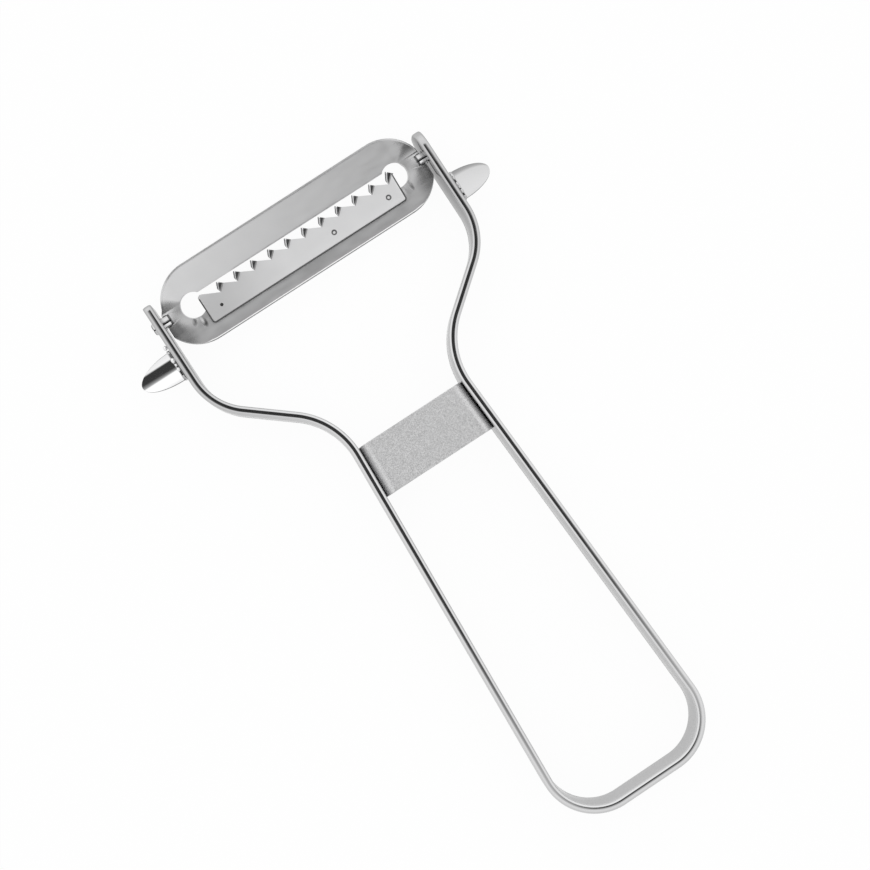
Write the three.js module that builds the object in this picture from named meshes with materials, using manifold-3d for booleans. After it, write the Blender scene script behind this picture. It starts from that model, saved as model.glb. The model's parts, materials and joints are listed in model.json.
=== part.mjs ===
// Julienne peeler of bent and pressed steel, lying on the back edge of its band.
// Millimetres. +Y runs along the handle towards the head, +Z up to the side that meets the food.
// While the band is made, y is counted from the closed end of the handle and z from the table.

import * as THREE from 'three';
import { mergeVertices } from 'three/addons/utils/BufferGeometryUtils.js';
import Module from 'manifold-3d';

// Handle band: one flat strip on edge, widths across the handle taken at its centreline
const BAND_WIDTH = 10;
const BAND_THICKNESS = 1.8;
const BAND_EDGE_RADIUS = 0.65;
const ARM_GAP = 63;
const ARM_TIP_REACH = 4.9;
const ARM_TIP_RADIUS = 4;
const PIVOT_DISTANCE = 131.3;
const SHOULDER_DISTANCE = 111.45;
const UPPER_BEND_RADIUS = 13;
const NECK_DISTANCE = 95.6;
const NECK_WIDTH = 25.66;
const LOWER_BEND_RADIUS = 16;
const END_WIDTH = 35.4;
const END_CORNER_RADIUS = 10.6;

// Crossbar: a sheet bracket between the two sides of the handle
const CROSSBAR_DISTANCE = 77.3;
const CROSSBAR_HEIGHT = 11.35;
const CROSSBAR_SHEET = 0.8;
const CROSSBAR_BEND_RADIUS = 2.4;
const CROSSBAR_SINK = 0.6;
const CROSSBAR_FLANGE = 6.5;

// Swivelling head: a pressed plate, creased between its guard and its blade carrier
const HEAD_SIDE_GAP = 0.35;
const HEAD_HEIGHT = 17.1;
const HEAD_SHEET = 0.8;
const HEAD_RIM_RADIUS = 0.3;
const CREASE_RISE = 1.73;
const CREASE_LAP = 0.1;
const GUARD_TILT = THREE.MathUtils.degToRad(6);
const CARRIER_TILT = THREE.MathUtils.degToRad(4);
const SLOT_WIDTH = 3.46;
const SLOT_HOLE_RADIUS = 2.65;
const SLOT_HOLE_INSET = 6.85;

// Trunnions: the head's end tongues, rolled round and turning in the arms
const TRUNNION_RADIUS = 1.55;
const TRUNNION_SHEET = 0.8;
const TRUNNION_SEAM = 0.35;
const TRUNNION_NOTCH = 1.95;
const TRUNNION_NOTCH_GAP = 0.15;
const TRUNNION_ROOT = 0.5;
const TRUNNION_STANDOUT = 0.5;
const TRUNNION_CLEARANCE = 0.15;

// Julienne blade: distances down from the crease, teeth counted from the left end
const BLADE_SHEET = 0.5;
const BLADE_LEFT_INSET = 1.4;
const BLADE_RIGHT_INSET = 0.4;
const BLADE_DROP = 0.73;
const BLADE_HEIGHT = 6.5;
const BLADE_CORNER_RADIUS = 0.7;
const TOOTH_PITCH = 4.06;
const TOOTH_HEIGHT = 1.85;
const FIRST_TOOTH = 4.3;
const LAST_TOOTH = 1.5;
const FIN_WIDTH = 1;
const FIN_STEP = 0.35;
const FIN_RISE = 1.3;
const FIN_SHEET = 0.4;
const WELD_DROP = 4.05;
const WELD_INSET = 3.1;
const WELD_MIDDLE = 7.1;
const WELD_RADIUS = 0.75;
const WELD_DEPTH = 0.2;

// Eye removers: pressed scoops on a foot outside each arm
const SCOOP_DROP = 8.8;
const SCOOP_REACH = 8.3;
const SCOOP_WIDTH = 6.4;
const SCOOP_DEPTH = 2.2;
const SCOOP_SHEET = 0.6;
const SCOOP_RIM_HEIGHT = 7.4;
const FOOT_LENGTH = 7;
const FOOT_HEIGHT = 5.4;
const FOOT_SHEET = 0.6;
const FOOT_CORNER_RADIUS = 0.8;
const FOOT_TOP_HEIGHT = 8.2;

// Gap left between two pieces that are welded together
const SEAT_GAP = 0.15;

// How finely round forms are cut into flats
const BEND_STEP = THREE.MathUtils.degToRad(7);
const EDGE_STEPS = 3;
const TIP_STEPS = 5;
const ROUND_STEPS = 24;
const SCOOP_STEPS = 9;
const SCOOP_ARC_STEPS = 10;
const SCOOP_TIP_ANGLE = THREE.MathUtils.degToRad(82);

// Largest share of a sheet that one rounded edge takes, and how far a cutter reaches past the head
const MOST_ROUNDING = 0.45;
const CUTTER_REACH = 3;

// Places that follow from the driving dimensions
const ARM_X = ARM_GAP / 2 + BAND_THICKNESS / 2;
const ARM_OUTSIDE = ARM_GAP / 2 + BAND_THICKNESS;
const TIP_Y = PIVOT_DISTANCE + ARM_TIP_REACH;
const PIVOT_HEIGHT = BAND_WIDTH / 2;
const HEAD_END = ARM_GAP / 2 - HEAD_SIDE_GAP;
const HEAD_RADIUS = HEAD_HEIGHT / 2;
const RIDGE_RISE = CREASE_RISE * Math.tan(CARRIER_TILT);
const SLOT_HOLE_X = HEAD_END - SLOT_HOLE_INSET;
const BLADE_LEFT = BLADE_LEFT_INSET - SLOT_HOLE_X;
const BLADE_RIGHT = SLOT_HOLE_X - BLADE_RIGHT_INSET;
const CENTRE = new THREE.Vector2();

const wasm = await Module();
wasm.setup();

// Closed solid of a geometry whose faces point out
function toSolid(geometry) {
  const bare = geometry.clone();
  bare.deleteAttribute('normal');
  bare.deleteAttribute('uv');
  const merged = mergeVertices(bare, 1e-4);
  return new wasm.Manifold(new wasm.Mesh({
    numProp: 3,
    vertProperties: merged.getAttribute('position').array,
    triVerts: Uint32Array.from(merged.index.array),
  }));
}

function toGeometry(solid) {
  const { vertProperties, triVerts } = solid.getMesh();
  const geometry = new THREE.BufferGeometry();
  geometry.setAttribute('position', new THREE.BufferAttribute(vertProperties, 3));
  geometry.setIndex(new THREE.BufferAttribute(triVerts, 1));
  geometry.computeVertexNormals();
  return geometry;
}

// Closed skin over a row of rings, each running along one side of a strip and back along the other
function loft(rings) {
  const size = rings[0].length;
  const last = (rings.length - 1) * size;
  const index = [];
  const quad = (a, b, c, d) => index.push(a, c, b, a, d, c);
  for (let low = 0; low < last; low += size) {
    for (let i = 0; i < size; i += 1) {
      const next = (i + 1) % size;
      quad(low + i, low + next, low + size + next, low + size + i);
    }
  }
  for (let i = 0; i < size / 2 - 1; i += 1) {
    const back = size - 1 - i;
    quad(i, back, back - 1, i + 1);
    quad(last + i, last + i + 1, last + back - 1, last + back);
  }
  const geometry = new THREE.BufferGeometry().setFromPoints(rings.flat());
  geometry.setIndex(index);
  return geometry;
}

// Radius of a rounded sheet edge, which can't take up the whole sheet
function edgeRadius(wanted, sheet) {
  return Math.min(wanted, sheet * MOST_ROUNDING);
}

// Points of a round stretch from one angle to another
function arcPoints(centreX, centreY, radius, from, to, steps) {
  return Array.from({ length: steps + 1 }, (_, i) => {
    const angle = from + ((to - from) * i) / steps;
    return new THREE.Vector2(centreX + radius * Math.cos(angle), centreY + radius * Math.sin(angle));
  });
}

// Plate of an outline drawn in the plane across X, with its thickness along +X from the given place
function plateAcrossX(shape, startX, thickness) {
  const geometry = new THREE.ExtrudeGeometry(shape, {
    depth: thickness,
    bevelEnabled: false,
    curveSegments: ROUND_STEPS / 4,
  });
  const toX = new THREE.Matrix4().makeBasis(
    new THREE.Vector3(0, 1, 0),
    new THREE.Vector3(0, 0, 1),
    new THREE.Vector3(1, 0, 0),
  );
  return geometry.applyMatrix4(toX).translate(startX, 0, 0);
}

function roundedRectangle(left, low, right, high, radius) {
  const quarter = Math.PI / 2;
  const shape = new THREE.Shape();
  shape.absarc(right - radius, low + radius, radius, -quarter, 0);
  shape.absarc(right - radius, high - radius, radius, 0, quarter);
  shape.absarc(left + radius, high - radius, radius, quarter, 2 * quarter);
  shape.absarc(left + radius, low + radius, radius, 2 * quarter, 3 * quarter);
  shape.closePath();
  return shape;
}

// Places along one rounded corner of the band's centreline, with the direction of travel
function roundedCorner(before, corner, after, radius) {
  const inward = corner.clone().sub(before).normalize();
  const outward = after.clone().sub(corner).normalize();
  const turn = Math.atan2(inward.cross(outward), inward.dot(outward));
  const start = corner.clone().addScaledVector(inward, -radius * Math.tan(Math.abs(turn) / 2));
  const toCentre = new THREE.Vector2(-inward.y, inward.x).multiplyScalar(Math.sign(turn) * radius);
  const centre = start.clone().add(toCentre);
  const steps = Math.ceil(Math.abs(turn) / BEND_STEP);
  return Array.from({ length: steps + 1 }, (_, i) => ({
    point: start.clone().rotateAround(centre, (turn * i) / steps),
    direction: inward.clone().rotateAround(CENTRE, (turn * i) / steps),
  }));
}

// Steps across the band's thickness from outside to inside, with the round edges' inset at each
function bandLevels() {
  const radius = edgeRadius(BAND_EDGE_RADIUS, BAND_THICKNESS);
  const flat = BAND_THICKNESS / 2 - radius;
  const outer = arcPoints(-flat, radius, radius, Math.PI, 1.5 * Math.PI, EDGE_STEPS);
  const inner = outer.map(({ x, y }) => new THREE.Vector2(-x, y)).reverse();
  return [...outer, ...inner].map(({ x, y }) => ({ across: x, inset: y }));
}

// One ring of the band, from the place and half width that a function gives for each level
function bandRing(levels, placeAt) {
  const places = levels.map((level) => placeAt(level));
  const front = places.map(({ x, y, half }) => new THREE.Vector3(x, y, PIVOT_HEIGHT + half));
  const back = places.map(({ x, y, half }) => new THREE.Vector3(x, y, PIVOT_HEIGHT - half));
  return [...front, ...back.reverse()];
}

function makeBand() {
  const corners = [
    new THREE.Vector2(0, BAND_THICKNESS / 2),
    new THREE.Vector2(END_WIDTH / 2, BAND_THICKNESS / 2),
    new THREE.Vector2(NECK_WIDTH / 2, NECK_DISTANCE),
    new THREE.Vector2(ARM_X, SHOULDER_DISTANCE),
    new THREE.Vector2(ARM_X, TIP_Y),
  ];
  const radii = [END_CORNER_RADIUS, LOWER_BEND_RADIUS, UPPER_BEND_RADIUS];
  const bends = radii.flatMap((radius, i) => roundedCorner(...corners.slice(i, i + 3), radius));
  const levels = bandLevels();
  const bendRings = bends.map(({ point, direction }) => bandRing(levels, ({ across, inset }) => ({
    x: point.x - direction.y * across,
    y: point.y + direction.x * across,
    half: BAND_WIDTH / 2 - inset,
  })));
  const tipRadius = Math.min(ARM_TIP_RADIUS, BAND_WIDTH / 2);
  const tipAngles = arcPoints(0, 0, 1, Math.PI / 2, 0, TIP_STEPS);
  const tipRings = tipAngles.map((turn) => bandRing(levels, ({ across, inset }) => ({
    x: ARM_X - across,
    y: TIP_Y - tipRadius + (tipRadius - inset) * turn.x,
    half: BAND_WIDTH / 2 - tipRadius + (tipRadius - inset) * turn.y,
  })));
  const right = [...bendRings, ...tipRings];
  const left = right.map((ring) => ring.map(({ x, y, z }) => new THREE.Vector3(-x, y, z)));
  const strip = toSolid(loft([...left.reverse(), ...right]));
  const boreRadius = TRUNNION_RADIUS + TRUNNION_CLEARANCE;
  const boreLength = CUTTER_REACH * ARM_OUTSIDE;
  const bore = new THREE.CylinderGeometry(boreRadius, boreRadius, boreLength, ROUND_STEPS);
  bore.rotateZ(Math.PI / 2).translate(0, PIVOT_DISTANCE, PIVOT_HEIGHT);
  return toGeometry(strip.subtract(toSolid(bore)));
}

// Half of the clear width between the handle's two sides
function handleInside(y) {
  const sideY = BAND_THICKNESS / 2;
  const slope = (END_WIDTH - NECK_WIDTH) / 2 / (NECK_DISTANCE - sideY);
  const slant = Math.hypot(1, slope);
  return END_WIDTH / 2 - slope * (y - sideY) - (BAND_THICKNESS / 2) * slant;
}

function makeCrossbar() {
  const top = BAND_WIDTH - CROSSBAR_SINK;
  const low = top - CROSSBAR_FLANGE;
  const ringAt = (y) => {
    const half = handleInside(y) - SEAT_GAP;
    const sideAt = (inset) => {
      const radius = CROSSBAR_BEND_RADIUS - inset;
      const bendX = half - CROSSBAR_BEND_RADIUS;
      const bendZ = top - CROSSBAR_BEND_RADIUS;
      const bend = arcPoints(bendX, bendZ, radius, 0, Math.PI / 2, ROUND_STEPS / 4);
      const rightSide = [new THREE.Vector2(half - inset, low), ...bend];
      const leftSide = rightSide.map((point) => new THREE.Vector2(-point.x, point.y)).reverse();
      return [...rightSide, ...leftSide].map((point) => new THREE.Vector3(point.x, y, point.y));
    };
    return [...sideAt(0), ...sideAt(CROSSBAR_SHEET).reverse()];
  };
  return loft([ringAt(CROSSBAR_DISTANCE), ringAt(CROSSBAR_DISTANCE + CROSSBAR_HEIGHT)]);
}

// The head's whole outline as a plate with a rolled rim, turned about the crease
function headPlate(tilt) {
  const straight = HEAD_END - HEAD_RADIUS;
  const outline = new THREE.Shape();
  outline.absarc(straight, 0, HEAD_RADIUS, -Math.PI / 2, Math.PI / 2);
  outline.absarc(-straight, 0, HEAD_RADIUS, Math.PI / 2, 1.5 * Math.PI);
  outline.closePath();
  const rim = edgeRadius(HEAD_RIM_RADIUS, HEAD_SHEET);
  const depth = HEAD_SHEET - 2 * rim;
  const plate = new THREE.ExtrudeGeometry(outline, {
    depth,
    bevelThickness: rim,
    bevelSize: rim,
    bevelOffset: -rim,
    bevelSegments: EDGE_STEPS,
    curveSegments: ROUND_STEPS,
  });
  plate.translate(0, -CREASE_RISE, -depth / 2);
  return toSolid(plate.rotateX(tilt).translate(0, CREASE_RISE, RIDGE_RISE));
}

// Box that holds everything on one side of the crease, and a narrow lap past it
function creaseSide(sign) {
  const reach = CUTTER_REACH * HEAD_END;
  const box = new THREE.BoxGeometry(reach, reach, reach);
  return toSolid(box.translate(0, CREASE_RISE + sign * (reach / 2 - CREASE_LAP), 0));
}

// Slot between the guard and the blade, with a round hole at each end
function slotCutter() {
  const depth = HEAD_HEIGHT;
  const low = CREASE_RISE - SLOT_WIDTH;
  const slot = new THREE.BoxGeometry(2 * SLOT_HOLE_X, SLOT_WIDTH, depth);
  slot.translate(0, (CREASE_RISE + low) / 2, 0);
  const hole = new THREE.CylinderGeometry(SLOT_HOLE_RADIUS, SLOT_HOLE_RADIUS, depth, ROUND_STEPS);
  hole.rotateX(Math.PI / 2);
  const right = toSolid(hole.clone().translate(SLOT_HOLE_X, 0, 0));
  const left = toSolid(hole.clone().translate(-SLOT_HOLE_X, 0, 0));
  return toSolid(slot).add(right).add(left);
}

// Rolled tongue: a tube with an open seam that faces up
function trunnion(startX, length) {
  const sideAt = (radius) => {
    const seam = Math.asin(TRUNNION_SEAM / 2 / radius);
    return arcPoints(0, 0, radius, Math.PI / 2 + seam, 2.5 * Math.PI - seam, ROUND_STEPS);
  };
  const bore = sideAt(TRUNNION_RADIUS - TRUNNION_SHEET);
  const outline = new THREE.Shape([...sideAt(TRUNNION_RADIUS), ...bore.reverse()]);
  return toSolid(plateAcrossX(outline, startX, length));
}

function makeHolder() {
  const guard = headPlate(-GUARD_TILT).intersect(creaseSide(1));
  const carrier = headPlate(CARRIER_TILT).intersect(creaseSide(-1));
  const notchX = HEAD_END - TRUNNION_NOTCH;
  const notchHeight = 2 * (TRUNNION_RADIUS + TRUNNION_NOTCH_GAP);
  const notch = new THREE.BoxGeometry(2 * TRUNNION_NOTCH, notchHeight, HEAD_HEIGHT);
  const rootX = notchX - TRUNNION_ROOT;
  const length = ARM_OUTSIDE + TRUNNION_STANDOUT - rootX;
  const plate = guard.add(carrier).subtract(slotCutter())
    .subtract(toSolid(notch.clone().translate(HEAD_END, 0, 0)))
    .subtract(toSolid(notch.clone().translate(-HEAD_END, 0, 0)));
  return toGeometry(plate.add(trunnion(rootX, length)).add(trunnion(-rootX - length, length)));
}

// Where each raised fin stands along the blade
function finPlaces() {
  const room = BLADE_RIGHT - BLADE_LEFT - FIRST_TOOTH - LAST_TOOTH;
  const count = Math.floor(room / TOOTH_PITCH) + 1;
  return Array.from({ length: count }, (_, i) => BLADE_LEFT + FIRST_TOOTH + i * TOOTH_PITCH);
}

// Small leaning triangle, the corner of a tooth that is bent up from its fold line
function fin(x, valley, tip) {
  const corners = [
    new THREE.Vector3(x + FIN_STEP, valley, 0),
    new THREE.Vector3(x + FIN_STEP + FIN_WIDTH, tip - FIN_STEP, 0),
    new THREE.Vector3(x + FIN_STEP, tip, BLADE_SHEET + FIN_RISE),
  ];
  const fold = corners[1].clone().sub(corners[0]);
  const lean = corners[2].clone().sub(corners[0]);
  const across = fold.cross(lean).setLength(FIN_SHEET);
  const inside = corners.map((point) => point.clone().add(across));
  const geometry = new THREE.BufferGeometry().setFromPoints([...inside, ...corners]);
  geometry.setIndex([0, 1, 2, 3, 5, 4, 0, 3, 4, 0, 4, 1, 1, 4, 5, 1, 5, 2, 2, 5, 3, 2, 3, 0]);
  return toSolid(geometry);
}

function makeBlade() {
  const tip = -BLADE_DROP;
  const valley = tip - TOOTH_HEIGHT;
  const low = tip - BLADE_HEIGHT;
  const radius = BLADE_CORNER_RADIUS;
  const places = finPlaces();
  const outline = new THREE.Shape();
  outline.absarc(BLADE_LEFT + radius, low + radius, radius, Math.PI, 1.5 * Math.PI);
  outline.absarc(BLADE_RIGHT - radius, low + radius, radius, 1.5 * Math.PI, 2 * Math.PI);
  outline.lineTo(BLADE_RIGHT, valley + TOOTH_HEIGHT / 4);
  places.toReversed().forEach((x) => {
    outline.lineTo(x + FIN_STEP + FIN_WIDTH, tip - FIN_STEP);
    outline.lineTo(x + FIN_STEP, valley);
  });
  outline.absarc(BLADE_LEFT + radius, tip - radius, radius, Math.PI / 3, Math.PI);
  outline.closePath();
  const sheet = new THREE.ExtrudeGeometry(outline, {
    depth: BLADE_SHEET,
    bevelEnabled: false,
    curveSegments: ROUND_STEPS / 4,
  });
  const middle = (BLADE_LEFT + BLADE_RIGHT) / 2 + WELD_MIDDLE;
  const spots = [BLADE_LEFT + WELD_INSET, middle, BLADE_RIGHT - WELD_INSET];
  const dimple = new THREE.SphereGeometry(WELD_RADIUS, ROUND_STEPS / 2, ROUND_STEPS / 2);
  const dimples = spots.map((x) => toSolid(dimple.clone()
    .translate(x, tip - WELD_DROP, BLADE_SHEET + WELD_RADIUS - WELD_DEPTH)));
  const fins = places.map((x) => fin(x, valley, tip));
  const toothed = fins.reduce((solid, one) => solid.add(one), toSolid(sheet));
  return toGeometry(dimples.reduce((solid, one) => solid.subtract(one), toothed));
}

// Scoop beside the right arm: a tongue of arched sheet that narrows to a round tip, on its welded foot
function makeScoop() {
  const footX = ARM_OUTSIDE + SEAT_GAP;
  const rootX = footX + FOOT_SHEET / 2;
  const length = ARM_OUTSIDE + SCOOP_REACH - rootX;
  const halfArc = 2 * Math.atan(SCOOP_DEPTH / (SCOOP_WIDTH / 2));
  const rootRadius = SCOOP_WIDTH / 2 / Math.sin(halfArc);
  const ringAt = (turn) => {
    const shrink = Math.cos(turn);
    const centreZ = SCOOP_RIM_HEIGHT + rootRadius * shrink * Math.cos(halfArc);
    const sideAt = (sheet) => arcPoints(0, centreZ, rootRadius * shrink + sheet,
      -Math.PI / 2 - halfArc, halfArc - Math.PI / 2, SCOOP_ARC_STEPS)
      .map((point) => new THREE.Vector3(rootX + length * Math.sin(turn), point.x, point.y));
    return [...sideAt(0), ...sideAt(SCOOP_SHEET).reverse()];
  };
  const turns = Array.from({ length: SCOOP_STEPS + 1 }, (_, i) => (SCOOP_TIP_ANGLE * i) / SCOOP_STEPS);
  const tongue = toSolid(loft(turns.map((turn) => ringAt(turn))));
  const footShape = roundedRectangle(-FOOT_LENGTH / 2, FOOT_TOP_HEIGHT - FOOT_HEIGHT,
    FOOT_LENGTH / 2, FOOT_TOP_HEIGHT, FOOT_CORNER_RADIUS);
  const foot = toSolid(plateAcrossX(footShape, footX, FOOT_SHEET));
  return toGeometry(tongue.add(foot));
}

function steel(name, geometry, color, roughness) {
  const material = new THREE.MeshStandardMaterial({ color, roughness, metalness: 1 });
  const mesh = new THREE.Mesh(geometry, material);
  mesh.name = name;
  return mesh;
}

// Eye removers: the left one is the right one turned round, because a scoop is symmetric in itself
const rightScoop = steel('right_eye_remover', makeScoop(), 0xdedfe1, 0.1);
rightScoop.position.y = PIVOT_DISTANCE - SCOOP_DROP;
const leftScoop = steel('left_eye_remover', makeScoop(), 0xdedfe1, 0.1);
leftScoop.position.y = PIVOT_DISTANCE - SCOOP_DROP;
leftScoop.rotation.z = Math.PI;

// Head: the holder turns about its pivot line, and the blade lies on the tilted carrier
const blade = steel('julienne_blade', makeBlade(), 0xd4d5d6, 0.25);
blade.position.z = HEAD_SHEET / 2 + SEAT_GAP;
const carrierPlane = new THREE.Group();
carrierPlane.position.set(0, CREASE_RISE, RIDGE_RISE);
carrierPlane.rotation.x = CARRIER_TILT;
carrierPlane.add(blade);

const head = new THREE.Group();
head.position.set(0, PIVOT_DISTANCE, PIVOT_HEIGHT);
head.add(steel('blade_holder', makeHolder(), 0xb4b5b7, 0.4), carrierPlane);

const peeler = new THREE.Group();
peeler.add(
  steel('handle_band', makeBand(), 0xcfd0d2, 0.15),
  steel('crossbar', makeCrossbar(), 0xbcbdbf, 0.45),
  leftScoop,
  rightScoop,
  head,
);

// The origin is under the middle of the whole peeler, on the table
const box = new THREE.Box3().setFromObject(peeler);
peeler.position.y = -(box.min.y + box.max.y) / 2;

export default peeler;
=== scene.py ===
"""Looks of a steel julienne peeler: finished meshes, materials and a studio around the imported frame."""

import json
from math import asin, cos, hypot, pi, radians, sin, tan

import bmesh
import bpy
import numpy as np
from mathutils import Matrix, Vector


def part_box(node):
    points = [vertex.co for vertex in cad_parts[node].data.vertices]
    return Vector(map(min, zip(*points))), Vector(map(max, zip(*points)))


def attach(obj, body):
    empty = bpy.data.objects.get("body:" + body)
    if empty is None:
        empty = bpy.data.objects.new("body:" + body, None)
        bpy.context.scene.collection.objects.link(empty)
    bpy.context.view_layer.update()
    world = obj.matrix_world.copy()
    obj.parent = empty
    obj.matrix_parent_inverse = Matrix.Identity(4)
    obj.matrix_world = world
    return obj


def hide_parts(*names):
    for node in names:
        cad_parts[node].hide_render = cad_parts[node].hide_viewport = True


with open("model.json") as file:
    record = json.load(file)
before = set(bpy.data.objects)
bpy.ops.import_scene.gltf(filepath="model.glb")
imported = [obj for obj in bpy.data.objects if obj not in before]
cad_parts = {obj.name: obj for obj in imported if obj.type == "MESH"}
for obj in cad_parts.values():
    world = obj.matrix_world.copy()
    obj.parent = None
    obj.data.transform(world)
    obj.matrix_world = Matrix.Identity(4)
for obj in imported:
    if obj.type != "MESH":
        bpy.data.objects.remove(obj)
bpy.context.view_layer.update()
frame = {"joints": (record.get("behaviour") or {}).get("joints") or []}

# Lengths below are in millimetres, and meshes are in metres
MM = 0.001

# Points closer than this, in metres, are one point
MERGE_DISTANCE = 1e-7

# Band: a flat strip on edge, widths across the handle taken at its centreline, arm tips left then right
BAND_THICKNESS = 1.8
BAND_EDGE_RADIUS = 0.6
ARM_TIP_RADII = (1.2, 3.6)
ARM_TIP_CUTS = (0.6, 0)
ARM_TIP_EDGE_SHARE = 0.35
SHOULDER_DISTANCE = 111.45
UPPER_BEND_RADIUS = 13.0
NECK_DISTANCE = 95.6
NECK_WIDTH = 25.66
LOWER_BEND_RADIUS = 16.0
END_WIDTH = 35.4
END_CORNER_RADIUS = 10.6
BORE_RADIUS = 1.45
BORE_CUT = 3

# Crossbar
CROSSBAR_SHEET = 0.8
CROSSBAR_BEND_RADIUS = 2.4
CROSSBAR_EDGE = 0.12
CROSSBAR_SEAT = 0.04

# Head plate: corners are drawn along the head, left then right, and tilts fall away from the crease
HEAD_SHEET = 0.8
HEAD_SIDE_GAP = 0.35
HEAD_RADIUS = 8.55
CARRIER_CORNERS = (-0.8, 1.1)
GUARD_CORNERS = (0.5, 0.1)
CORNER_BLEND = 1.5
CARRIER_TRIM = 0.15
GUARD_RIM_RADIUS = 0.1
CARRIER_RIM_RADIUS = 0.36
CARRIER_RIM_STEPS = (2, 3)
CARRIER_RIM_START = -7.9
CARRIER_RIM_BLEND = 0.4
NOTCH_RIM_RADIUS = 0.06
NOTCH_RIM_REACH = 1.1
SLOT_RIM_RADIUS = 0.06
SLOT_TAPER = 0.66
SLOT_TAPER_WIDTH = 1.5
SLOT_TAPER_BLEND = 0.5
GUARD_BLEND = 3
GUARD_LIP_WIDTH = 0.4
GUARD_LIP_RISE = 0.08
CREASE_RISE = 1.73
CREASE_SOFTNESS = 0.12
GUARD_TILT = radians(4.0)
GUARD_TWIST = radians(3.4)
CARRIER_TILT = radians(4)
SLOT_HOLE_RADIUS = 2.65
SLOT_HOLE_INSET = 6.85
GUARD_STEP = 0.3
GUARD_STEP_RUN = 0.4
GUARD_STEP_END_RUN = 2.4
FORMED_END_LEAD = 1.5
TONGUE_TILT = radians(5.5)
TONGUE_HALF = 2.0
TONGUE_SPREAD = 4.5

# Marks of the press: place and height of each bulge, and place, half sizes and turn of each smooth streak
PRESS_MARKS = ((-24.9, -3.3, 0.08), (24.6, -3.3, 0.08))
PRESS_MARK_WIDTH = 0.55
PRESS_MARK_LENGTH = 1.1
PRESS_STREAKS = ((-26.05, -3.1, 0.6, 1.0, radians(-27)), (-24.3, -4.2, 0.65, 1.2, 0),
                 (26.1, -3.3, 0.5, 1.4, 0))
STREAK_SHARE = 0.35
STREAK_CORE = 0.3

# Trunnions, reach past the solid's end left then right
TRUNNION_RADIUS = 1.32
TRUNNION_SHEET = 0.6
TRUNNION_LEAST_SHEET = 0.1
TRUNNION_SEAM = 0.3
TRUNNION_SEAM_TURN = radians(12)
TRUNNION_NOTCH = 1.3
TRUNNION_GAP = -0.05
TRUNNION_ROOT = 0.25
TRUNNION_END_RADIUS = 0.8
# Length of the ring of painted shade at the trunnion's root
TRUNNION_ROOT_SHADE = 0.2
TRUNNION_REACH = (0.1, 0)

# Blade: distances down from the crease
BLADE_SHEET = 0.5
BLADE_DROP = 0.73
BLADE_HEIGHT = 6.5
BLADE_CORNER_RADIUS = 0.7
BLADE_SEAT = 0.15
BLADE_EDGE = 0.3
TOOTH_PITCH = 4.06
TOOTH_COUNT = 11
TOOTH_HEIGHT = 1.85
FIRST_TOOTH = 4.65
FOLD_ACROSS = 1.45
FOLD_UP = 1.33
LAST_FOLD = 1.2
FIN_LENGTH = 2.15
FIN_PEAK = 0.81
FIN_BLUNT = 0.93
FIN_BEND = radians(72)
FIN_BEND_RADIUS = 0.5
FIN_SHEET = 0.48
FIN_LAYERS = (0, 0.6, 1)
FIN_ROOT = 0.25
FIN_SINK = 0.01
WELD_INSET = 3.1
WELD_MIDDLE = 7.1
WELD_DROP = 4.05
WELD_RADIUS = 0.66
WELD_FLOOR = 0.28
WELD_DEPTH = 0.2
WELD_OVERCUT = 0.05
LEFT_WELD_SHIFT = 0.3
LEFT_WELD_SHARE = 0.6

# A face of the blade is an edge where less than this share of its normal points across the sheet
EDGE_LEAN = 0.97

# Scoops: how far each reaches past its solid, where its trough lies and how it is curved
SCOOP_WIDTH = 6.4
SCOOP_SHEET = 0.5
SCOOP_RIM_SHEET = 0.2
SCOOP_RIM_POWER = 6
SCOOP_RIM_DROP = 0.8
SCOOP_TURN = radians(88)
LEFT_SCOOP = {"reach": 0.5, "shift": 0.6, "follow": 0, "droop": 0,
              "bend": 4.2, "flat": 2.0, "curve": 18}
RIGHT_SCOOP = {"reach": 0, "shift": 2.75, "follow": 1, "droop": radians(3.2),
               "bend": 16, "flat": 0.3, "curve": 30}
FOOT_SHEET = 0.6
FOOT_ENDS = ((-3.1, 3.5), (-3.3, 3.1))
FOOT_CORNER_RADIUS = 0.8
FOOT_EDGE = 0.12

# Weld beads: place along the arm from the pivot, radius and stretch
BEAD_OUT = 0.3
BEAD_DROP = 0.15
LEFT_BEADS = ((-4.7, 0.42, 1.2), (-7.6, 0.5, 1.2), (-8.7, 0.3, 1.2), (-9.7, 0.4, 1.2))
RIGHT_BEADS = ((-6.9, 0.4, 2.0), (-9.0, 0.35, 2.4), (-10.4, 0.35, 1.5))

# Places of the finishes, painted highlights and painted shade in each piece's list of materials
HOLDER_SATIN, HOLDER_PAINTED_HIGHLIGHT, HOLDER_PAINTED_SHADE, HOLDER_PAINTED_HALF_SHADE = range(4)
BLADE_SATIN, BLADE_PAINTED_SHADE, BLADE_PAINTED_HALF_SHADE, BLADE_PAINTED_HIGHLIGHT = range(4)
SCOOP_FOOT = 2

# Places taken from the frame, in millimetres
band_low, band_high = (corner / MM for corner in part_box("handle_band"))
bar_low, bar_high = (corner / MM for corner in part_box("crossbar"))
holder_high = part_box("blade_holder")[1] / MM
blade_low, blade_high = (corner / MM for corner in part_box("julienne_blade"))
pivot = Vector(frame["joints"][0]["pos_m"]) / MM

BAND_WIDTH = band_high.z - band_low.z
ARM_X = band_high.x - BAND_THICKNESS / 2
HEAD_END = ARM_X - BAND_THICKNESS / 2 - HEAD_SIDE_GAP
SLOT_HOLE_X = HEAD_END - SLOT_HOLE_INSET
RIDGE_RISE = CREASE_RISE * tan(CARRIER_TILT)


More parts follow.
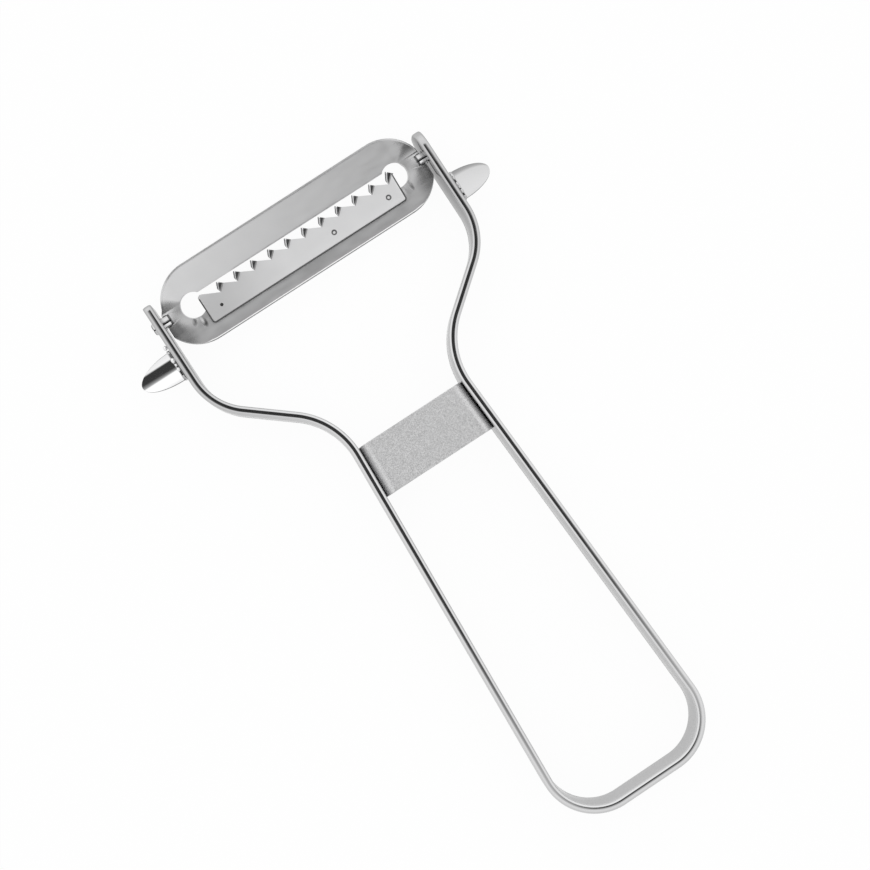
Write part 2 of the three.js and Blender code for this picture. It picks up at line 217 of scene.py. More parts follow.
# Mesh tools
def add_mesh(name, points, faces, sharp=35):
    """Smooth mesh object from points in millimetres in the row frame, with sharp edges past an angle."""
    mesh = bpy.data.meshes.new(name)
    mesh.from_pydata((np.asarray(points, float) * MM).tolist(), [], faces)
    obj = bpy.data.objects.new(name, mesh)
    bpy.context.scene.collection.objects.link(obj)
    clean(obj, sharp)
    return obj


def clean(obj, sharp=35):
    """Merges double points, turns faces outwards and shades the mesh smooth between sharp edges."""
    work = bmesh.new()
    work.from_mesh(obj.data)
    bmesh.ops.remove_doubles(work, verts=work.verts, dist=MERGE_DISTANCE)
    bmesh.ops.recalc_face_normals(work, faces=work.faces)
    work.to_mesh(obj.data)
    work.free()
    shade(obj, sharp)


def shade(obj, sharp):
    """Shades the mesh smooth between edges that are sharper than an angle."""
    obj.data.shade_smooth()
    obj.data.set_sharp_from_angle(angle=radians(sharp))


def grid_faces(rows, columns, wrap_rows=False, wrap_columns=True):
    """Quads over a grid of points that is stored row by row."""
    faces = []
    for row in range(rows if wrap_rows else rows - 1):
        for column in range(columns if wrap_columns else columns - 1):
            across = (column + 1) % columns
            along = (row + 1) % rows
            faces.append((row * columns + column, row * columns + across,
                          along * columns + across, along * columns + column))
    return faces


def strip_caps(rows, columns):
    """Quads that close both ends of a skin whose rings run along a strip and back."""
    last = (rows - 1) * columns
    caps = []
    for i in range(columns // 2 - 1):
        back = columns - 1 - i
        caps.append((i, back, back - 1, i + 1))
        caps.append((last + i, last + i + 1, last + back - 1, last + back))
    return caps


def strip_faces(rings):
    """Faces of a closed skin over rings that run along a strip and back."""
    rows, columns = len(rings), len(rings[0])
    return grid_faces(rows, columns) + strip_caps(rows, columns)


def disc_caps(rows, columns):
    """One face over the first ring of a skin and one over the last."""
    return [tuple(range(columns)), tuple(range((rows - 1) * columns, rows * columns))]


def bake(obj):
    """Turns the object's modifiers into its mesh."""
    graph = bpy.context.evaluated_depsgraph_get()
    mesh = bpy.data.meshes.new_from_object(obj.evaluated_get(graph))
    obj.modifiers.clear()
    obj.data = mesh


def cut_out(obj, other, sharp):
    """Cuts another closed mesh out of the object, and deletes the other."""
    modifier = obj.modifiers.new("combine", "BOOLEAN")
    modifier.operation = "DIFFERENCE"
    modifier.solver = "MANIFOLD"
    modifier.object = other
    bpy.context.view_layer.update()
    bake(obj)
    bpy.data.objects.remove(other)
    clean(obj, sharp)


def join(obj, other, sharp=25):
    """Adds another mesh to the object as it is, and deletes the other."""
    work = bmesh.new()
    work.from_mesh(obj.data)
    work.from_mesh(other.data)
    work.to_mesh(obj.data)
    work.free()
    bpy.data.objects.remove(other)
    shade(obj, sharp)


def set_materials(obj, indices):
    """Says which of the piece's materials each face has."""
    obj.data.polygons.foreach_set("material_index", indices)


def mark_columns(obj, rows, columns, chosen):
    """Gives the faces in the chosen columns of a skin the piece's second material."""
    skin = columns * (rows - 1)
    count = len(obj.data.polygons)
    set_materials(obj, [int(i < skin and i % columns in chosen) for i in range(count)])


def cylinder_along_x(name, radius, x_low, x_high, y, z, segments=64):
    """Closed round bar along X."""
    turn = np.linspace(0, 2 * pi, segments, endpoint=False)
    ring = np.stack([np.zeros(segments), y + radius * np.cos(turn), z + radius * np.sin(turn)], 1)
    points = np.concatenate([ring + [x_low, 0, 0], ring + [x_high, 0, 0]])
    return add_mesh(name, points, grid_faces(2, segments) + disc_caps(2, segments))


def arc(centre, radius, start, end, steps):
    """Points of a round stretch in a plane."""
    turn = np.linspace(start, end, steps + 1)
    return np.stack([centre[0] + radius * np.cos(turn), centre[1] + radius * np.sin(turn)], 1)


def across_x(x, outline):
    """Points of a plane outline set up across X."""
    return np.stack([np.full(len(outline), x), outline[:, 0], outline[:, 1]], 1)


def rounded_corner(before, corner, after, radius, step=radians(1.5)):
    """Places and directions of travel along one rounded corner of a plane path."""
    before, corner, after = (np.asarray(point, float) for point in (before, corner, after))
    inward = (corner - before) / np.linalg.norm(corner - before)
    outward = (after - corner) / np.linalg.norm(after - corner)
    turn = np.arctan2(inward[0] * outward[1] - inward[1] * outward[0], inward @ outward)
    start = corner - inward * radius * tan(abs(turn) / 2)
    centre = start + np.array([-inward[1], inward[0]]) * np.sign(turn) * radius
    places = []
    for angle in np.linspace(0, turn, int(abs(turn) / step) + 2):
        rotate = np.array([[cos(angle), -sin(angle)], [sin(angle), cos(angle)]])
        places.append((centre + rotate @ (start - centre), rotate @ inward))
    return places


def smooth(value):
    """Soft step from 0 to 1."""
    value = np.clip(value, 0, 1)
    return value ** 2 * (3 - 2 * value)


# Band
def band_levels(steps=6):
    """Steps across the band from outside to inside, with the rounded edges' inset at each."""
    flat = BAND_THICKNESS / 2 - BAND_EDGE_RADIUS
    outer = arc((-flat, BAND_EDGE_RADIUS), BAND_EDGE_RADIUS, pi, 1.5 * pi, steps)
    inner = outer[::-1] * [-1, 1]
    return np.concatenate([outer, inner])


def make_band(tip_steps=14):
    """Handle band with its round arm tips and pivot bores."""
    end_y = band_low.y
    tip_y = band_high.y
    corners = [(0, BAND_THICKNESS / 2), (END_WIDTH / 2, BAND_THICKNESS / 2),
               (NECK_WIDTH / 2, NECK_DISTANCE), (ARM_X, SHOULDER_DISTANCE), (ARM_X, tip_y - end_y)]
    radii = [END_CORNER_RADIUS, LOWER_BEND_RADIUS, UPPER_BEND_RADIUS]
    levels = band_levels()
    across, inset = levels[:, 0], levels[:, 1]
    middle = BAND_WIDTH / 2

    def ring(x, y, half):
        front = np.stack([x, y, middle + half], 1)
        back = np.stack([x, y, middle - half], 1)
        return np.concatenate([front, back[::-1]])

    def half(tip_radius, cut):
        rows = []
        end = tip_y - cut
        for i, radius in enumerate(radii):
            for place, way in rounded_corner(*corners[i:i + 3], radius):
                x = place[0] - way[1] * across
                y = end_y + place[1] + way[0] * across
                rows.append(ring(x, y, middle - inset))
        for angle in np.linspace(pi / 2, 0, tip_steps + 1):
            edge_share = ARM_TIP_EDGE_SHARE + (1 - ARM_TIP_EDGE_SHARE) * sin(angle)
            reach = tip_radius - inset * edge_share
            rows.append(ring(ARM_X - across, end - tip_radius + reach * cos(angle),
                             middle - tip_radius + reach * sin(angle)))
        return rows

    left, right = (half(*tip) for tip in zip(ARM_TIP_RADII, ARM_TIP_CUTS))
    rings = [points * [-1, 1, 1] for points in left[::-1]] + right
    columns = len(rings[0])
    band = add_mesh("band", np.concatenate(rings), strip_faces(rings), sharp=50)
    # The inner face takes the second material, which carries a stronger painted shade towards the arms
    mark_columns(band, len(rings), columns, [columns // 2 - 1])
    for side in (-1, 1):
        arm = side * ARM_X
        bore = cylinder_along_x("bore", BORE_RADIUS, arm - BORE_CUT, arm + BORE_CUT, pivot.y, pivot.z)
        cut_out(band, bore, sharp=50)
    return band


# Crossbar
def edge_steps(start, edge, flat, steps=3):
    """Places through the softened edge of a sheet, with the outline's shrinkage at each."""
    turns = np.linspace(pi / 2, 0, steps + 1)
    places = [(start + edge * (1 - sin(a)), edge * (1 - cos(a))) for a in turns]
    return places + [(start + flat * edge, 0)]


def make_crossbar(bend_steps=16):
    """Sheet bracket between the handle's sides, with softened sheet edges."""
    side_y = band_low.y + BAND_THICKNESS / 2
    slope = (END_WIDTH - NECK_WIDTH) / 2 / (NECK_DISTANCE - BAND_THICKNESS / 2)
    slant = hypot(1, slope)
    top, low = bar_high.z, bar_low.z

    def ring(y, shrink):
        half = END_WIDTH / 2 - slope * (y - side_y) - BAND_THICKNESS / 2 * slant - CROSSBAR_SEAT

        def side(inset):
            centre = (half - CROSSBAR_BEND_RADIUS, top - CROSSBAR_BEND_RADIUS)
            bend = arc(centre, CROSSBAR_BEND_RADIUS - inset, 0, pi / 2, bend_steps)
            right = np.concatenate([[[half - inset, low + shrink]], bend])
            return np.concatenate([right, right[::-1] * [-1, 1]])

        outline = np.concatenate([side(shrink), side(CROSSBAR_SHEET - shrink)[::-1]])
        return np.stack([outline[:, 0], np.full(len(outline), y), outline[:, 1]], 1)

    start = edge_steps(bar_low.y, CROSSBAR_EDGE, flat=2)
    end = [(bar_low.y + bar_high.y - y, shrink) for y, shrink in start[::-1]]
    rings = [ring(y, shrink) for y, shrink in start + end]
    return add_mesh("crossbar_bracket", np.concatenate(rings), strip_faces(rings), sharp=40)


# Head
def sheet_height(x, y):
    """Middle of the head's sheet above the pivot line: two planes meet at the crease, with formed ends."""
    down = y - CREASE_RISE
    rise = tan(CARRIER_TILT)
    fall = np.tan(GUARD_TILT - GUARD_TWIST * x / HEAD_END)
    ridge = np.sqrt(down ** 2 + CREASE_SOFTNESS ** 2) - CREASE_SOFTNESS
    height = RIDGE_RISE + (rise - fall) / 2 * down - (rise + fall) / 2 * ridge
    hole_edge = SLOT_HOLE_X + SLOT_HOLE_RADIUS
    spread = TONGUE_SPREAD * smooth((-y - TRUNNION_RADIUS) / TONGUE_SPREAD)
    end = smooth((np.abs(x) - hole_edge + FORMED_END_LEAD + spread) / (HEAD_END - hole_edge + spread))
    up = np.clip(down / (GUARD_STEP_RUN + GUARD_STEP_END_RUN * end), 0, 1)
    height = height + GUARD_STEP * end * (1 - (1 - up) ** 2)
    tongue_length = CREASE_RISE + TONGUE_HALF
    tongue = np.clip(-down, 0, tongue_length)
    tongue_rise = tongue - tongue ** 4 / 4 / tongue_length ** 3
    height = height + end * (rise + tan(TONGUE_TILT)) * tongue_rise
    for mark_x, mark_y, mark in PRESS_MARKS:
        across = ((x - mark_x) / PRESS_MARK_WIDTH) ** 2
        along = ((y - mark_y) / PRESS_MARK_LENGTH) ** 2
        height = height + mark * np.exp(-across - along)
    return height


def head_stations(end_steps=132, straight_steps=70):
    """Pairs of points on the slot's edge and on the head's outline, all the way round."""
    notch = TRUNNION_RADIUS + TRUNNION_GAP
    notch_x = HEAD_END - TRUNNION_NOTCH
    end_x = HEAD_END - HEAD_RADIUS
    slot_turn = pi - asin(CREASE_RISE / SLOT_HOLE_RADIUS)
    notch_turn = asin(notch / HEAD_RADIUS)
    right = []
    for angle in np.linspace(pi / 2, -pi / 2, end_steps + 1):
        swing = angle * slot_turn / (pi / 2)
        inner = (SLOT_HOLE_X + SLOT_HOLE_RADIUS * cos(swing), SLOT_HOLE_RADIUS * sin(swing))
        outer = (end_x + HEAD_RADIUS * cos(angle), HEAD_RADIUS * sin(angle))
        if abs(angle) < notch_turn:
            outer = (notch_x, notch * angle / notch_turn)
        right.append((inner, outer))
    slot_x = SLOT_HOLE_X + SLOT_HOLE_RADIUS * cos(slot_turn)
    top = []
    for share in np.linspace(-1, 1, straight_steps + 1)[1:-1]:
        top.append(((share * slot_x, CREASE_RISE), (share * end_x, HEAD_RADIUS)))
    right_half = top + right
    left_half = [((-a[0], -a[1]), (-b[0], -b[1])) for a, b in right_half]
    stations = np.array(right_half + left_half)
    stations[:, 1] = draw_corners(stations[:, 1], notch, end_x)
    return stations


def draw_corners(outline, notch, end_x):
    """Outline with its corners drawn out or in along the head, not past its ends and not at the tongues."""
    x, y = outline.T
    share = smooth((np.abs(y) - notch) / CORNER_BLEND)
    shift = np.where(y < 0, np.where(x < 0, *CARRIER_CORNERS), np.where(x < 0, *GUARD_CORNERS))
    along = x + shift * share * np.clip(np.abs(x) / end_x, 0, 1)
    across = np.where(y < 0, y * (1 - CARRIER_TRIM / HEAD_RADIUS * share), y)
    return np.stack([np.clip(along, -HEAD_END, HEAD_END), across], 1)


def head_section(length, rim, taper, rings=30, lip_steps=3, slot_steps=2):
    """Closed section of the sheet from slot to outline: distance along it, and height off its middle."""
    half = HEAD_SHEET / 2
    outer = arc((length - rim, half - rim), rim, pi / 2, 0, sum(CARRIER_RIM_STEPS))
    inner = arc((SLOT_RIM_RADIUS, half - SLOT_RIM_RADIUS), SLOT_RIM_RADIUS, pi, pi / 2, slot_steps)
    lip = np.linspace(length - GUARD_LIP_WIDTH, length - rim, lip_steps + 1)[:-1]
    flat = np.concatenate([np.linspace(SLOT_RIM_RADIUS, length - GUARD_LIP_WIDTH, rings + 1)[1:-1], lip])
    top = np.concatenate([inner, np.stack([flat, np.full(len(flat), half)], 1), outer])
    below = top[::-1] * [1, -1]
    below[:, 1] += taper * np.clip(1 - below[:, 0] / SLOT_TAPER_WIDTH, 0, 1)
    return np.concatenate([top, below])


def section_finish(count, outer_y):
    """Materials round one section of the sheet: a painted highlight on the carrier's rolled rim and a paler
    painted shade on its edge.
    """
    finish = [HOLDER_SATIN] * count
    if outer_y < CARRIER_RIM_START:
        highlight_steps, shade_steps = CARRIER_RIM_STEPS
        last = count // 2 - 1
        finish[last - shade_steps:last] = [HOLDER_PAINTED_HALF_SHADE] * shade_steps
        finish[last - shade_steps - highlight_steps:last - shade_steps] = [HOLDER_PAINTED_HIGHLIGHT] * highlight_steps
    return finish


def make_holder():
    """Head plate with its guard, slot and carrier, and the rolled trunnions."""
    rings = []
    finishes = []
    for inner, outer in head_stations():
        way = outer - inner
        length = np.linalg.norm(way)
        guard = float(smooth((outer[1] - CREASE_RISE) / GUARD_BLEND))
        rolled_rim = float(smooth((CARRIER_RIM_START - outer[1]) / CARRIER_RIM_BLEND))
        rim = GUARD_RIM_RADIUS + (CARRIER_RIM_RADIUS - GUARD_RIM_RADIUS) * rolled_rim
        if abs(outer[1]) < NOTCH_RIM_REACH * TRUNNION_RADIUS:
            rim = NOTCH_RIM_RADIUS
        taper = SLOT_TAPER * np.clip((inner[1] - CREASE_RISE) / SLOT_TAPER_BLEND + 1, 0, 1)
        section = head_section(length, rim, taper)
        flat = inner + section[:, :1] * way / length
        lip = np.clip(1 - (length - section[:, 0]) / GUARD_LIP_WIDTH, 0, 1)
        height = sheet_height(flat[:, 0], flat[:, 1]) + section[:, 1] + GUARD_LIP_RISE * guard * lip
        rings.append(np.stack([flat[:, 0], flat[:, 1] + pivot.y, height + pivot.z], 1))
        finishes += section_finish(len(section), outer[1])
    faces = grid_faces(len(rings), len(rings[0]), wrap_rows=True)
    holder = add_mesh("holder", np.concatenate(rings), faces, sharp=50)
    set_materials(holder, finishes)
    for side in (-1, 1):
        join(holder, make_trunnion(side))
    return holder


def make_trunnion(side, steps=48, end_steps=6, bright_rows=3):
    """Rolled tongue with its open seam upwards and a narrowed end, with painted shade at its root, in its
    seam and on its tip, and a painted highlight on the side towards the handle next to the root.
    """
    bore = TRUNNION_RADIUS - TRUNNION_SHEET

    def ring(x, radius):
        def turn(size):
            seam = asin(TRUNNION_SEAM / 2 / size)
            top = pi / 2 + TRUNNION_SEAM_TURN
            return arc((0, 0), size, top + seam, top + 2 * pi - seam, steps)

        inside = turn(min(bore, radius - TRUNNION_LEAST_SHEET))
        outline = np.concatenate([turn(radius), inside[::-1]])
        return across_x(side * x, outline + [pivot.y, pivot.z])

    root = HEAD_END - TRUNNION_NOTCH - TRUNNION_ROOT
    end = holder_high.x + TRUNNION_REACH[side > 0]
    narrowing = TRUNNION_RADIUS - TRUNNION_END_RADIUS
    start = end - narrowing
    stations = [(root, TRUNNION_RADIUS), (root + TRUNNION_ROOT + TRUNNION_ROOT_SHADE, TRUNNION_RADIUS)]
    for angle in np.linspace(0, pi / 2, end_steps + 1):
        stations.append((start + (end - start) * sin(angle), TRUNNION_END_RADIUS + narrowing * cos(angle)))
    rings = [ring(x, radius) for x, radius in stations]
    faces = strip_faces(rings)
    columns = len(rings[0])
    trunnion = add_mesh("trunnion", np.concatenate(rings), faces)
    rows = len(rings) - 1
    outside = columns // 2 - 1
    seam = [HOLDER_PAINTED_SHADE] * (columns - outside)
    dark_row = [HOLDER_PAINTED_SHADE] * columns
    tube_row = [HOLDER_PAINTED_HIGHLIGHT] * (outside // 2) + [HOLDER_SATIN] * (outside - outside // 2) + seam
    bright = ([HOLDER_SATIN] * outside + seam) * bright_rows
    dark_tip = dark_row * (rows - bright_rows - 2)
    caps = [HOLDER_SATIN] * (len(faces) - columns * rows)
    set_materials(trunnion, dark_row + tube_row + bright + dark_tip + caps)
    return trunnion


# Blade
def on_carrier(points):
    """Points given across the carrier, down from the crease and up from the blade's seat."""
    turn = Matrix.Rotation(CARRIER_TILT, 3, "X")
    lift = HEAD_SHEET / 2 + BLADE_SEAT
    origin = Vector((0, pivot.y + CREASE_RISE, pivot.z + RIDGE_RISE))
    return np.array([origin + turn @ Vector((x, y, z + lift)) for x, y, z in points])


def tooth_places():
    """Places along the blade of the valleys at the foot of each fin, and how large each fin is."""
    places = [(blade_low.x + FIRST_TOOTH + i * TOOTH_PITCH, 1) for i in range(TOOTH_COUNT)]
    places[-1] = (places[-1][0], LAST_FOLD)
    return places


def blade_outline(steps=8):
    """Corner points of the toothed strip, counter-clockwise, and how many of them lie off the teeth."""
    tip = -BLADE_DROP
    valley = tip - TOOTH_HEIGHT
    low = tip - BLADE_HEIGHT
    left, right = blade_low.x, blade_high.x
    radius = BLADE_CORNER_RADIUS
    rows = [arc((left + radius, tip - radius), radius, pi / 3, pi, steps),
            arc((left + radius, low + radius), radius, pi, 1.5 * pi, steps),
            arc((right - radius, low + radius), radius, 1.5 * pi, 2 * pi, steps)]
    soft = sum(len(row) for row in rows) + 1
    for x, fold in reversed(tooth_places()):
        rows.append([(x + fold * FOLD_ACROSS, valley + fold * FOLD_UP), (x, valley)])
    return np.concatenate([np.asarray(row, float) for row in rows]), soft


def make_fin(x, size, columns=8, bend_steps=5, straight_steps=6, half_shade_rows=3):
    """Corner of a tooth bent up along its fold line, with a painted highlight on its cut edge, a paler
    painted shade over its bend and painted shade on its faces.
    """
    fold = np.array([x, -BLADE_DROP - TOOTH_HEIGHT])
    length = size * FIN_LENGTH
    along = size * np.array([FOLD_ACROSS, FOLD_UP])
    span = np.linalg.norm(along)
    along = along / span
    out = np.array([-along[1], along[0]])
    bend_end = FIN_BEND * FIN_BEND_RADIUS
    rows = np.concatenate([[-FIN_ROOT], np.linspace(0, bend_end, bend_steps + 1),
                           np.linspace(bend_end, FIN_BLUNT * length, straight_steps + 1)[1:]])
    points = []
    for side in FIN_LAYERS:
        for q in rows:
            share = max(q, 0) / length
            bend = min(max(q, 0) / FIN_BEND_RADIUS, FIN_BEND)
            straight = max(q - bend_end, 0)
            reach = min(q, 0) + FIN_BEND_RADIUS * sin(bend) + straight * cos(FIN_BEND)
            rise = FIN_BEND_RADIUS * (1 - cos(bend)) + straight * sin(FIN_BEND)
            reach += side * FIN_SHEET * sin(bend)
            rise += BLADE_SHEET - FIN_SINK - side * FIN_SHEET * cos(bend)
            for r in np.linspace(FIN_PEAK * share, 1 - (1 - FIN_PEAK) * share, columns) * span:
                points.append((*(fold + along * r + out * reach), rise))
    count = len(rows)
    layer = count * columns
    front = grid_faces(count, columns, wrap_columns=False)
    back = [tuple(2 * layer + i for i in face) for face in front]
    half_shade_faces = half_shade_rows * (columns - 1)
    faces = front + back
    finish = [BLADE_PAINTED_HALF_SHADE] * half_shade_faces + [BLADE_PAINTED_SHADE] * (len(front) - half_shade_faces + len(back))
    border = [(0, c) for c in range(columns)] + [(r, columns - 1) for r in range(1, count)]
    border += [(count - 1, c) for c in reversed(range(columns - 1))]
    border += [(r, 0) for r in reversed(range(1, count - 1))]
    loop = [r * columns + c for r, c in border]
    for start, material in ((0, BLADE_PAINTED_HIGHLIGHT), (layer, BLADE_PAINTED_SHADE)):
        for a, b in zip(loop, loop[1:] + loop[:1]):
            faces.append((start + a, start + b, start + b + layer, start + a + layer))
            finish.append(material)
    fin = add_mesh("fin", on_carrier(points), faces, sharp=40)
    set_materials(fin, finish)
    return fin


def soften_edge(obj, first, count, width):
    """Rounds the edges between neighbouring points of one run."""
    work = bmesh.new()
    work.from_mesh(obj.data)
    work.verts.ensure_lookup_table()
    run = set(work.verts[first:first + count])
    edges = [edge for edge in work.edges if edge.verts[0] in run and edge.verts[1] in run]
    bmesh.ops.bevel(work, geom=edges, offset=width * MM, segments=3, profile=0.5, affect="EDGES")
    work.to_mesh(obj.data)
    work.free()


def darken_edges(blade):
    """Paints shade on the strip's edges below the teeth and at its right end, a dark line in place of their
    shadow.
    """
    up = Vector(on_carrier([(0, 0, 1)])[0] - on_carrier([(0, 0, 0)])[0])
    teeth = on_carrier([(0, -BLADE_DROP - TOOTH_HEIGHT, 0)])[0][1]
    indices = []
    for face in blade.data.polygons:
        below = face.center.y / MM < teeth or face.center.x / MM > blade_high.x - BLADE_CORNER_RADIUS
        edge = abs(face.normal.dot(up)) < EDGE_LEAN
        indices.append(BLADE_PAINTED_SHADE if below and edge else BLADE_SATIN)
    set_materials(blade, indices)


def make_dimple(x, share, segments=40):
    """Cone that cuts one weld mark into the blade, with painted shade on its wall and on a small mark's
    floor.
    """
    y = -BLADE_DROP - WELD_DROP
    turn = np.linspace(0, 2 * pi, segments, endpoint=False)
    points = []
    for radius, z in ((WELD_RADIUS, BLADE_SHEET + WELD_OVERCUT), (WELD_FLOOR, BLADE_SHEET - WELD_DEPTH)):
        points += [(x + share * radius * cos(a), y + share * radius * sin(a), z) for a in turn]
    dimple = add_mesh("dimple", on_carrier(points), grid_faces(2, segments) + disc_caps(2, segments))
    floor = BLADE_SATIN if share == 1 else BLADE_PAINTED_SHADE
    set_materials(dimple, [BLADE_PAINTED_SHADE] * (segments + 1) + [floor])
    return dimple


def make_blade():
    """Toothed strip with bent-up fins and the dimples of its spot welds."""
    outline, soft = blade_outline()
    count = len(outline)
    flat = np.concatenate([np.c_[outline, np.zeros(count)], np.c_[outline, np.full(count, BLADE_SHEET)]])
    blade = add_mesh("blade", on_carrier(flat), grid_faces(2, count) + disc_caps(2, count), sharp=30)
    soften_edge(blade, count, soft, BLADE_EDGE)
    clean(blade, sharp=20)
    darken_edges(blade)
    left, right = blade_low.x, blade_high.x
    welds = ((left + WELD_INSET + LEFT_WELD_SHIFT, LEFT_WELD_SHARE),
             ((left + right) / 2 + WELD_MIDDLE, 1), (right - WELD_INSET, 1))
    for x, share in welds:
        cut_out(blade, make_dimple(x, share), sharp=20)
    for x, size in tooth_places():
        join(blade, make_fin(x, size))
    return blade


# Scoops
def trough(y, bend, flat, curve):
    """Height of the scoop's inside above its flat, and the slope there."""
    out = np.clip(np.abs(y) - flat / 2, 0, None)
    drop = np.sqrt(bend ** 2 - out ** 2)
    return bend - drop + y ** 2 / 2 / curve, np.sign(y) * out / drop + y / curve


def scoop_place(side, node):
    """Box of a scoop's solid, and the distance of its foot's near face from the middle of the part."""
    low, high = (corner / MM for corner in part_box(node))
    return low, high, low.x if side > 0 else -high.x


def make_scoop(side, node, reach, shift, follow, droop, length_steps=40, width_steps=48, **form):
    """Eye remover: a pressed trough cut to a round tongue, with a thinned rim."""
    low, high, near = scoop_place(side, node)
    far = high.x if side > 0 else -low.x
    middle = (low.y + high.y) / 2
    root = near + FOOT_SHEET / 2
    length = far - root + reach
    rim = high.z - SCOOP_RIM_DROP
    half = SCOOP_WIDTH / 2
    deep = trough(np.array([-half, half]) - shift, **form)[0].max()
    rings = []
    for turn in np.linspace(0, SCOOP_TURN, length_steps + 1):
        y = np.linspace(-1, 1, width_steps + 1) * half * cos(turn)
        height, slope = trough(y - shift * (1 - follow + follow * cos(turn)), **form)
        height = height - tan(droop) * length * sin(turn)
        edge = np.sqrt(sin(turn) ** 2 + (y / half) ** 2)
        sheet = SCOOP_SHEET + (SCOOP_RIM_SHEET - SCOOP_SHEET) * edge ** SCOOP_RIM_POWER
        lean = np.hypot(1, slope)
        inner = np.stack([y, height], 1)
        outer = np.stack([y + sheet * slope / lean, height - sheet / lean], 1)
        outline = np.concatenate([inner, outer[::-1]]) + [middle, rim - deep]
        rings.append(across_x(side * (root + length * sin(turn)), outline))
    columns = len(rings[0])
    name = "scoop_" + ("right" if side > 0 else "left")
    scoop = add_mesh(name, np.concatenate(rings), strip_faces(rings), sharp=50)
    # The sheet's side edges take the second material, a paler painted shade
    mark_columns(scoop, len(rings), columns, [columns // 2 - 1, columns - 1])
    return scoop


def make_foot(side, node, corner_steps=8):
    """Foot flange that welds a scoop to the arm."""
    low, high, near = scoop_place(side, node)
    radius = FOOT_CORNER_RADIUS
    middle = (low.y + high.y) / 2
    foot_start, foot_end = FOOT_ENDS[side > 0]
    right, left = middle + foot_end - radius, middle + foot_start + radius
    bottom, top = low.z + radius, high.z - radius
    corners = [((right, bottom), -pi / 2), ((right, top), 0), ((left, top), pi / 2), ((left, bottom), pi)]
    start = edge_steps(near, FOOT_EDGE, flat=1.5)
    end = [(2 * near + FOOT_SHEET - x, shrink) for x, shrink in start[::-1]]
    rings = []
    for x, shrink in start + end:
        outline = np.concatenate([arc(c, radius - shrink, a, a + pi / 2, corner_steps) for c, a in corners])
        rings.append(across_x(side * x, outline))
    columns = len(rings[0])
    faces = grid_faces(len(rings), columns) + disc_caps(len(rings), columns)
    foot = add_mesh("foot", np.concatenate(rings), faces, sharp=50)
    set_materials(foot, [SCOOP_FOOT] * len(faces))
    return foot


def make_bead(side, node, y, radius, stretch, turns=20, levels=12):
    """Lump of weld metal between a scoop's foot and the arm: a stretched ball of rings and two poles."""
    _, high, near = scoop_place(side, node)
    turn = np.linspace(0, 2 * pi, turns, endpoint=False)
    rows = [[(0, 0, -1)]]
    for rise in np.linspace(-pi / 2, pi / 2, levels + 1)[1:-1]:
        ring = [cos(rise) * np.sin(turn), cos(rise) * np.cos(turn), np.full(turns, sin(rise))]
        rows.append(np.stack(ring, 1))
    rows.append([(0, 0, 1)])
    centre = [side * (near + BEAD_OUT), pivot.y + y, high.z - BEAD_DROP]
    points = np.concatenate(rows) * radius * [1, stretch, 1] + centre
    faces = [tuple(1 + i for i in face) for face in grid_faces(levels - 1, turns)]
    top = len(points) - 1
    for i in range(turns):
        across = (i + 1) % turns
        faces.append((0, 1 + across, 1 + i))
        faces.append((top, top - turns + i, top - turns + across))
    return add_mesh("bead", points, faces, sharp=60)


# Material tools: a patch this long has no end that way
ENDLESS = 1000


def new_material(name):
    """Node material, its tree and its shader."""
    material = bpy.data.materials.new(name)
    material.use_nodes = True
    tree = material.node_tree
    return material, tree, tree.nodes["Principled BSDF"]


def noise(tree, scale, detail=3, stretch=(1, 1, 1)):
    """Noise over the object's own coordinates, which are in metres."""
    place = tree.nodes.new("ShaderNodeTexCoord")
    mapping = tree.nodes.new("ShaderNodeMapping")
    mapping.inputs["Scale"].default_value = stretch
    texture = tree.nodes.new("ShaderNodeTexNoise")
    texture.inputs["Scale"].default_value = scale
    texture.inputs["Detail"].default_value = detail
    tree.links.new(place.outputs["Object"], mapping.inputs["Vector"])
    tree.links.new(mapping.outputs["Vector"], texture.inputs["Vector"])
    return texture.outputs["Fac"]


def coordinate(tree, axis):
    """The object's own coordinate along an axis, in metres."""
    place = tree.nodes.new("ShaderNodeTexCoord")
    split = tree.nodes.new("ShaderNodeSeparateXYZ")
    tree.links.new(place.outputs["Object"], split.inputs["Vector"])
    return split.outputs[axis]


def maths(tree, operation, first, second=None):
    """One step of arithmetic on a value, alone, with another value or with a number."""
    node = tree.nodes.new("ShaderNodeMath")
    node.operation = operation
    tree.links.new(first, node.inputs[0])
    if isinstance(second, float):
        node.inputs[1].default_value = second
    elif second is not None:
        tree.links.new(second, node.inputs[1])
    return node.outputs[0]


def ranged(tree, value, low, high, from_low=0.3, from_high=0.7):
    """The value spread over a range."""
    node = tree.nodes.new("ShaderNodeMapRange")
    node.inputs["From Min"].default_value = from_low
    node.inputs["From Max"].default_value = from_high
    node.inputs["To Min"].default_value = low
    node.inputs["To Max"].default_value = high
    tree.links.new(value, node.inputs["Value"])
    return node.outputs["Result"]


def patch_distance(tree, place, middle, size, turn=0):
    """Distance from the middle of a stretched and turned patch, whose rim lies at 1."""
    mapping = tree.nodes.new("ShaderNodeMapping")
    mapping.vector_type = "TEXTURE"
    mapping.inputs["Location"].default_value = middle
    mapping.inputs["Rotation"].default_value = (0, 0, turn)
    mapping.inputs["Scale"].default_value = size
    away = tree.nodes.new("ShaderNodeVectorMath")
    away.operation = "LENGTH"
    tree.links.new(place, mapping.inputs["Vector"])
    tree.links.new(mapping.outputs["Vector"], away.inputs[0])
    return away.outputs["Value"]


